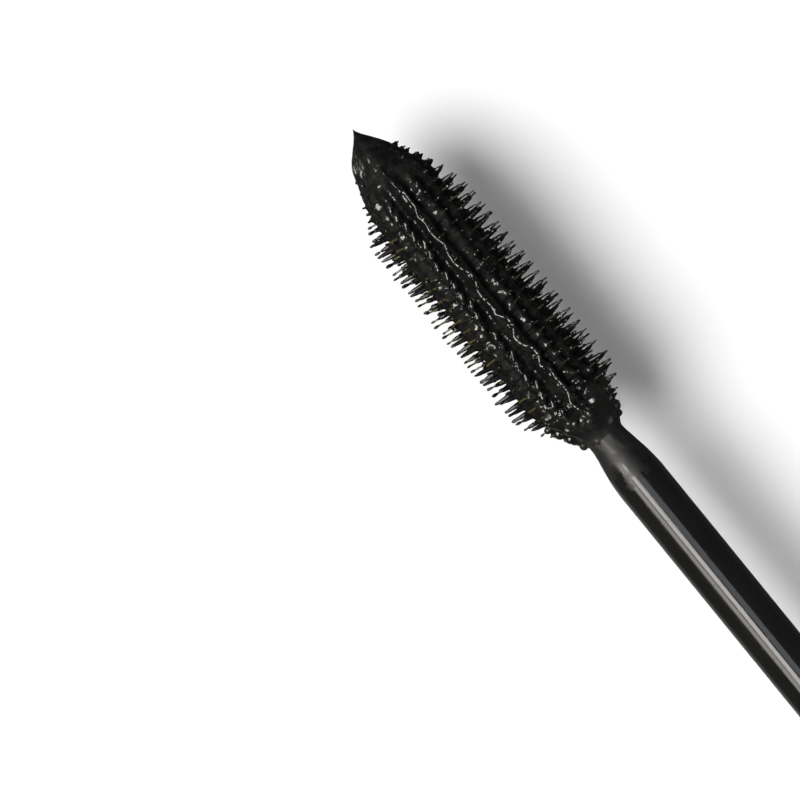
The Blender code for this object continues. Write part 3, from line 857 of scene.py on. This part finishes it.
def coat_part():
    """The thick coat: pointed at the tip, drawn into webs along the rows, and ragged at the root."""
    film_end = 29.0 * MM
    s_line = np.arange(POINT_START + 0.03 * MM, film_end, COAT_STEP)
    turn = np.linspace(-math.pi, math.pi, COAT_COLUMNS, endpoint=False)
    s, angle = np.meshgrid(s_line, turn, indexing="ij")
    s, angle = s.ravel(), angle.ravel()
    on_cylinder = np.stack([s, 3 * MM * np.sin(angle), 3 * MM * np.cos(angle)], axis=1)
    radius = peak_radius(s)
    # the peak has one soft edge along its top, with a flatter cheek on either side
    peak = falling(s, 4.0 * MM, 2.2 * MM)
    radius = radius * (1 - peak * cheek_depth(angle))
    radius += peak * rising(s, 0, 1.5 * MM) * 0.05 * MM * field(on_cylinder, 0.9, 5)

    # a web runs along each row, higher at its bristles
    body = rising(s, 3.0 * MM, 2.4 * MM) * falling(s, BRUSH_END - 0.6 * MM, 2.2 * MM)
    draw = np.random.default_rng(5)
    for row in range(ROWS):
        knots = np.arange(-3, STATIONS + 3)
        phase = (s - FIRST_STATION) / PITCH - 0.5 * (row % 2)
        wander = np.interp(phase, knots, draw.uniform(-0.04, 0.04, len(knots)))
        height = np.interp(phase, knots, draw.uniform(0.8, 1.15, len(knots)))
        height = height * (0.93 + 0.07 * np.cos(2 * math.pi * phase)) * WEB[row] * MM
        start = rising(s, (2.6 if row == 0 else 3.6) * MM, 1.6 * MM)
        off = wrapped(angle - row * ROW_STEP - wander)
        radius += height * start * body**0.5 * hump(off, 0, 0.15)
    # the coat is pitted between the bristles
    station = 2 * math.pi * (s - FIRST_STATION) / PITCH
    between = np.sin(ROWS * angle / 2) ** 2
    radius += body * 0.05 * MM * np.cos(station) * np.cos(ROWS * angle / 2)
    radius -= body * 0.09 * MM * between * (0.6 + 0.4 * np.cos(2 * station))
    radius += body * (0.12 * MM * field(on_cylinder, 0.45, 3) + 0.075 * MM * field(on_cylinder, 1.3, 4))
    # the +Y side is loaded highest just behind the peak
    radius += 0.26 * MM * hump(s, 4.8 * MM, 1.2 * MM) * hump(angle, 1.5, 0.45)
    # the root sinks in lumps, and ends as a ragged film on the rod's waist
    film = rod_radius(s) + 0.05 * MM - 0.09 * MM * rising(s, 27.3 * MM, 1.3 * MM)
    film += 0.07 * MM * field(on_cylinder, 0.8, 12)
    root = falling(s, BRUSH_END, 3.1 * MM) ** 0.85
    lumps = 1 + 0.3 * field(on_cylinder, 0.75, 9) * rising(s, 22 * MM, 2 * MM)
    radius = np.where(s > 20 * MM, film + (radius - film) * root * lumps, radius)
    return brush_point(s, angle, radius), grid_faces(len(s_line), COAT_COLUMNS)


def crest_parts():
    """The thin jagged crests of the two tallest webs, rows 0 and 13. The second one is broken up, one
    slanting piece to each bristle."""
    draw = np.random.default_rng(3)
    s = np.arange(2.9, 25.0, 0.11) * MM
    knots = np.arange(2.0, 26.5, 0.66) * MM  # where it may turn
    reach = (0.035 + 0.05 * np.arange(len(knots)) / len(knots)) * draw.choice((-1, 1), len(knots))
    angle = np.interp(s, knots, reach * draw.uniform(0.3, 1.3, len(knots)))
    level = np.minimum(3.5 * MM, 2.52 * MM + 0.3 * (s - 3.2 * MM))
    level = np.minimum(level, tuft_reach(s) + 0.2 * MM)
    level += 0.04 * MM * np.interp(s, knots, draw.uniform(-1, 1, len(knots)))
    thick = np.interp(s, knots, draw.uniform(0.14, 0.22, len(knots))) * draw.uniform(0.8, 1.2, len(s)) * MM
    thick *= 0.66 + 0.34 * rising(s, 5 * MM, 7 * MM)
    thick[[0, -1]] = 0.03 * MM
    parts = [tubes(brush_point(s, angle, level)[None], thick[None])]

    rings = 7
    station = np.arange(3, STATIONS - 2)
    sway = draw.normal(0, 0.03, len(station))
    thick = draw.uniform(0.17, 0.25, len(station)) * MM
    centres, radii = [], []
    for k in range(rings):
        t = k / (rings - 1) - 0.5
        s = FIRST_STATION + (station + 0.6 + 0.95 * t + draw.normal(0, 0.02, len(station))) * PITCH
        turn = -ROW_STEP + 0.06 - 0.12 * t + sway
        level = np.minimum(3.4 * MM, tuft_reach(s) - 0.3 * MM) + (0.04 - 0.14 * t * t) * MM
        centres.append(brush_point(s, turn, level))
        radii.append(thick * (1 - 2.0 * t * t) * draw.uniform(0.8, 1.2, len(station)))
    parts.append(tubes(np.stack(centres, axis=1), np.stack(radii, axis=1)))
    return parts


def string_parts():
    """Thin strings that the paste is drawn out into down the peak's -Y cheek."""
    thickness = 0.09 * MM
    parts = []
    for turn, first, last in ((-1.34, 1.2, 3.0), (-1.14, 0.5, 2.6), (-0.96, 0.8, 2.9), (-1.24, 1.5, 3.3)):
        s = np.linspace(first, last, 16) * MM
        level = peak_radius(s)
        angle = turn + 0.05 * np.sin(3.1 * s / MM)
        level = level * (1 - cheek_depth(angle)) + 0.02 * MM
        radii = thickness * np.sin(np.linspace(0.25, 2.9, 16)) ** 0.5
        parts.append(tubes(brush_point(s, angle, level)[None], radii[None]))
    return parts


def sleeve_parts(tufts):
    """A sheath of paste that climbs each bristle from the coat."""
    rings, start = 7, 0.25
    climb = np.clip(np.array(CLIMB)[tufts.row] * tufts.load, 0.2, 1.0)
    foot = np.array(FOOT)[tufts.row] * MM * tufts.load**0.5
    crown = np.array(CROWN)[tufts.row] * MM + 0.11 * MM * tufts.cluster
    shares = [start + (climb - start) * k / (rings - 1) for k in range(rings)]
    centres = np.stack([tufts.along(t) for t in shares], axis=1)
    radii = np.stack([crown + (foot - crown) * (1 - t) ** 1.2 for t in shares], axis=1)
    radii[:, -1] *= 0.6
    return tubes(centres, radii)


def strand_parts(tufts):
    """The twin strands of paste beside the foot of each bristle in the two rows on the +Y side."""
    chosen = np.flatnonzero(np.isin(tufts.row, (3, 4)))
    shares = np.linspace(0.3, 0.84, 6)
    profile = np.array([0.12, 0.1, 0.085, 0.07, 0.055, 0.04]) * MM
    strands = []
    for side in (-1, 1):
        centres = [tufts.along(t, chosen, side * (0.2 - 0.09 * t) * MM) for t in shares]
        strands.append(tubes(np.stack(centres, axis=1), np.tile(profile, (len(chosen), 1))))
    return strands


def bead_parts(tufts):
    """The drop that each bristle lifts on its tip."""
    sizes = (0.095 + 0.055 * tufts.bead**1.5 - 0.03 * np.isin(tufts.row, (3, 4))) * MM
    length = 0.06 + 0.05 * tufts.bead
    profile = (0.25, 0.8, 1.0, 0.9, 0.3)
    positions = (-1.3, -0.7, 0.0, 0.6, 1.0)
    shares = [1.0 - length * 0.9 + length * p for p in positions]
    centres = np.stack([tufts.along(t) for t in shares], axis=1)
    radii = np.stack([sizes * p for p in profile], axis=1)
    return tubes(centres, radii)


def drop_parts(tufts):
    """Small drops here and there along the bristles' sleeves, higher up where the webs are tall."""
    draw = np.random.default_rng(19)
    drops = 340
    parts = []
    for k in draw.choice(tufts.count, drops, replace=False):
        low = 0.42 if tufts.row[k] in (0, 1, 2, 12, 13) else 0.3
        centre = tufts.along(draw.uniform(low, low + 0.4), np.array([k]), draw.normal(0, 0.12) * MM)[0]
        parts.append(blob(centre, draw.uniform(0.1, 0.17) * draw.uniform(0.8, 1.2, 3) * MM))
    return parts


def clump_parts():
    """Thick lumps where the brush meets the rod, most of them on its upper side, and a few along the webs.
    The biggest have places of their own, flattened where they face up."""
    draw = np.random.default_rng(11)
    at_root, in_all = 24, 34
    parts = []
    for k in range(in_all):
        near_root = k < at_root
        s = draw.uniform(22.6, 26.5) if near_root else draw.uniform(6.0, 22.0)
        angle = draw.normal(-0.25, 0.55) if k % 3 else draw.uniform(-math.pi, math.pi)
        limit = min(2.9 * MM, tuft_reach(s * MM) - 0.55 * MM)
        size = draw.uniform(0.2, 0.42 if near_root else 0.26) * MM
        centre = brush_point(np.array(s * MM), np.array(angle), limit - draw.uniform(0, 0.3) * MM)
        parts.append(blob(centre, size * draw.uniform(0.75, 1.35, 3)))
    for s, angle, level, size in (
        (24.35, 0.0, 2.95, 0.6), (24.95, 0.08, 2.6, 0.5), (23.6, -0.4, 3.1, 0.5), (25.5, -0.1, 2.25, 0.45),
        (25.15, -0.45, 2.45, 0.4), (22.7, -0.5, 3.2, 0.36), (20.5, 0.02, 3.3, 0.36), (24.1, -0.75, 2.7, 0.36),
        (25.5, -1.45, 2.05, 0.66), (26.05, -1.4, 1.8, 0.6), (26.6, -1.45, 1.62, 0.5), (24.9, -1.45, 2.4, 0.6),
        (26.3, 1.4, 1.7, 0.5), (25.6, 1.2, 2.1, 0.5), (26.2, 0.5, 1.65, 0.44), (26.6, -0.5, 1.4, 0.44),
    ):
        flatness = np.array([1.0, 1.0, 0.55 if abs(angle) < 0.9 else 1.0])
        for _ in range(3):
            at = np.array(s * MM) + draw.normal(0, 0.16) * MM
            centre = brush_point(at, np.array(angle + draw.normal(0, 0.07)), level * MM)
            parts.append(blob(centre, size * draw.uniform(0.45, 0.8, 3) * flatness * MM))
    return parts


def blob(centre, size):
    """A ball with its own radius in each direction."""
    shape = bmesh.new()
    bmesh.ops.create_icosphere(shape, subdivisions=2, radius=1.0)
    points = np.array([v.co[:] for v in shape.verts]) * size + centre
    faces = [[v.index for v in f.verts] for f in shape.faces]
    shape.free()
    return points, faces


def make_brush():
    tufts = Tufts()
    finish_piece(
        merged_mesh("brush_bristles", [core_part(), bristle_parts(tufts)]),
        RUBBER, "wand", "brush_rubber", "brush", crease=60,
    )
    mesh = merged_mesh("loose_paste", [
        coat_part(), *crest_parts(), *string_parts(), sleeve_parts(tufts), *strand_parts(tufts),
        bead_parts(tufts), *drop_parts(tufts), *clump_parts(),
    ])
    finish_piece(fused(mesh, "brush_paste"), PASTE, "wand", "mascara_paste", "mascara_coat", crease=180)


def fused(mesh, name):
    """One skin round everything in the mesh, with the necks between lumps pulled smooth."""
    source = bpy.data.objects.new(mesh.name, mesh)
    bpy.context.scene.collection.objects.link(source)
    skin = source.modifiers.new("skin", "REMESH")
    skin.mode = "VOXEL"
    skin.voxel_size = VOXEL
    relax = source.modifiers.new("relax", "SMOOTH")
    relax.factor = 0.5
    relax.iterations = 2
    evaluated = source.evaluated_get(bpy.context.evaluated_depsgraph_get())
    made = bpy.data.meshes.new_from_object(evaluated)
    bpy.data.objects.remove(source)
    bpy.data.meshes.remove(mesh)
    made.name = name
    return made


# ---------------------------------------------------------------- stage


def add_sun(name, tilt, drift, angle, strength, colour, diffuse=True, glossy=True):
    """A soft distant light, tilted from straight overhead towards -Y, and by drift towards +X."""
    light = bpy.data.lights.new(name, "SUN")
    light.angle = math.radians(angle)
    light.energy = strength
    light.color = colour
    lamp = bpy.data.objects.new(name, light)
    direction = Vector((math.tan(math.radians(drift)), -math.tan(math.radians(tilt)), 1))
    lamp.rotation_euler = direction.to_track_quat("Z", "Y").to_euler()
    lamp.visible_diffuse = diffuse
    lamp.visible_glossy = glossy
    bpy.context.scene.collection.objects.link(lamp)


def add_strip(name, tilt, radiance, colour):
    """A long soft box, seen only in gloss. It hangs along the wand, tilted from overhead towards -Y, with its
    middle well before the brush's tip."""
    distance, length, before_tip, half_spread = 0.5, 0.52, 0.12, math.radians(8.5)
    light = bpy.data.lights.new(name, "AREA")
    light.shape = "RECTANGLE"
    light.size = length
    light.size_y = 2 * distance * math.tan(half_spread)
    light.energy = 4 * radiance * light.size * light.size_y  # as Cycles counts an area light
    light.color = colour
    lamp = bpy.data.objects.new(name, light)
    direction = Vector((0, -math.sin(math.radians(tilt)), math.cos(math.radians(tilt))))
    lamp.location = Vector((TIP_X - before_tip, 0, AXIS_Z)) + direction * distance
    lamp.rotation_euler = direction.to_track_quat("Z", "Y").to_euler()
    lamp.visible_diffuse = False
    lamp.visible_camera = False
    bpy.context.scene.collection.objects.link(lamp)


def make_lights():
    """One soft key casts the shadow. The others are seen only in gloss, and give the rod its two streaks and
    the paste its glints."""
    white, warm, cool = (1, 1, 1), (1.0, 0.965, 0.92), (0.86, 0.93, 1.0)
    add_sun("soft_key", tilt=31, drift=-13, angle=34, strength=3.75, colour=white, glossy=False)
    add_strip("gloss_inner", tilt=21.5, radiance=9.5, colour=warm)
    add_strip("gloss_outer", tilt=42, radiance=5.2, colour=warm)
    add_sun("gloss_front", tilt=47, drift=-55.5, angle=19, strength=0.95, colour=warm, diffuse=False)
    add_sun("gloss_top", tilt=-4, drift=0, angle=22, strength=0.24, colour=cool, diffuse=False)


def make_world():
    """White behind everything, grey as fill, and dim in reflections save low down on the -Y side."""
    world = bpy.data.worlds.new("studio")
    world.use_nodes = True
    bpy.context.scene.world = world
    tree = world.node_tree
    tree.nodes.clear()
    add, link = tree.nodes.new, tree.links.new

    def background(strength, colour=(1, 1, 1)):
        """Light whose strength is a number or another node's output."""
        node = add("ShaderNodeBackground")
        node.inputs["Color"].default_value = (*colour, 1)
        if isinstance(strength, float):
            node.inputs["Strength"].default_value = strength
        else:
            link(strength, node.inputs["Strength"])
        return node.outputs[0]

    def ramp(source, low, high, to_high):
        node = add("ShaderNodeMapRange")
        node.interpolation_type = "SMOOTHSTEP"
        node.inputs["From Min"].default_value = low
        node.inputs["From Max"].default_value = high
        node.inputs["To Max"].default_value = to_high
        link(source, node.inputs["Value"])
        return node.outputs["Result"]

    split = add("ShaderNodeSeparateXYZ")
    link(add("ShaderNodeTexCoord").outputs["Generated"], split.inputs[0])
    low_side = add("ShaderNodeMath")
    low_side.operation = "MULTIPLY_ADD"
    low_side.inputs[2].default_value = 0.085
    link(ramp(split.outputs["Z"], -0.4, -0.8, 1.0), low_side.inputs[0])
    link(ramp(split.outputs["Y"], 0.0, -0.4, 0.32), low_side.inputs[1])

    seen = add("ShaderNodeLightPath")
    lit = add("ShaderNodeMixShader")
    link(seen.outputs["Is Glossy Ray"], lit.inputs[0])
    link(background(0.34), lit.inputs[1])
    link(background(low_side.outputs[0], (1, 0.95, 0.89)), lit.inputs[2])
    shown = add("ShaderNodeMixShader")
    link(seen.outputs["Is Camera Ray"], shown.inputs[0])
    link(lit.outputs[0], shown.inputs[1])
    link(background(1.0), shown.inputs[2])
    link(shown.outputs[0], add("ShaderNodeOutputWorld").inputs[0])


def make_floor():
    half = 2.0
    corners = [(-half, -half, 0), (half, -half, 0), (half, half, 0), (-half, half, 0)]
    mesh = bpy.data.meshes.new("floor")
    mesh.from_pydata(corners, [], [(0, 1, 2, 3)])
    floor = bpy.data.objects.new("floor", mesh)
    mesh.materials.append(studio_floor("floor_white"))
    floor.visible_glossy = False
    bpy.context.scene.collection.objects.link(floor)


def make_camera():
    """Straight down on the brush, with the rod leaving the picture at its lower right corner."""
    picture_width, lens, sensor = 55.2 * MM, 300.0, 36.0
    middle = (TIP_X + 16.24 * MM, -9.43 * MM)
    camera = bpy.data.cameras.new("camera")
    camera.lens = lens
    camera.sensor_width = sensor
    camera.clip_start, camera.clip_end = 0.01, 10
    holder = bpy.data.objects.new("camera", camera)
    holder.rotation_euler = (0, 0, math.radians(50.86))
    holder.location = (*middle, AXIS_Z + picture_width * lens / sensor)
    bpy.context.scene.collection.objects.link(holder)
    bpy.context.scene.camera = holder


def finish_weight():
    """The cap's steel slug keeps its CAD shape."""
    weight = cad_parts["cap_weight"]
    weight.data.materials.clear()
    weight.data.materials.append(STEEL)


def main():
    make_camera()
    make_floor()
    make_lights()
    make_world()
    make_tube()
    make_cap()
    make_stem()
    make_brush()
    finish_weight()
    bpy.context.scene.view_settings.view_transform = "Standard"


main()
